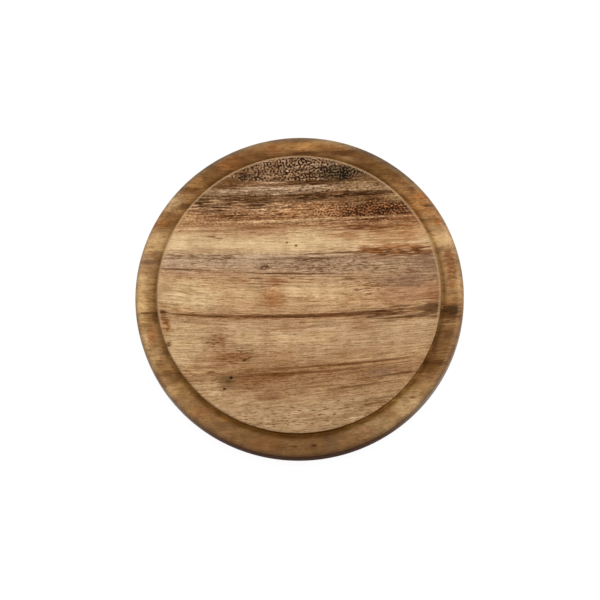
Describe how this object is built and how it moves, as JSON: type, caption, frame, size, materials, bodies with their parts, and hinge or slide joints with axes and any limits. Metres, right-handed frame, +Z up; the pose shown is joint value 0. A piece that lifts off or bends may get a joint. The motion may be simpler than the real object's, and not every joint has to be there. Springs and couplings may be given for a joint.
{
  "type": "bread board",
  "caption": "Round wooden bread board turned from edge-glued staves, with a flat raised cutting disc above a lower crumb rim and a rounded outer edge.",
  "frame": {"origin": "centre of the flat underside, which rests on the table", "axes": "+Z up out of the cutting face, X along the staves and their grain, +Y across the staves to the back edge"},
  "size_m": [0.25, 0.25, 0.025],
  "materials": {
    "front_edge_wood": "oiled tan hardwood with short dark pore dashes",
    "front_wood": "oiled tan hardwood with sloping brown streaks",
    "centre_front_wood": "oiled honey-coloured hardwood with reddish blotches",
    "centre_back_wood": "oiled hardwood, pale sapwood beside a grey-brown band",
    "back_wood": "oiled brown hardwood with dark growth lines and curly figure",
    "back_edge_wood": "oiled dark hardwood with nearly black curly figure"
  },
  "bodies": {
    "root": {"front_edge_stave": "front_edge_wood", "front_stave": "front_wood", "centre_front_stave": "centre_front_wood", "centre_back_stave": "centre_back_wood", "back_stave": "back_wood", "back_edge_stave": "back_edge_wood"}
  },
  "joints": []
}
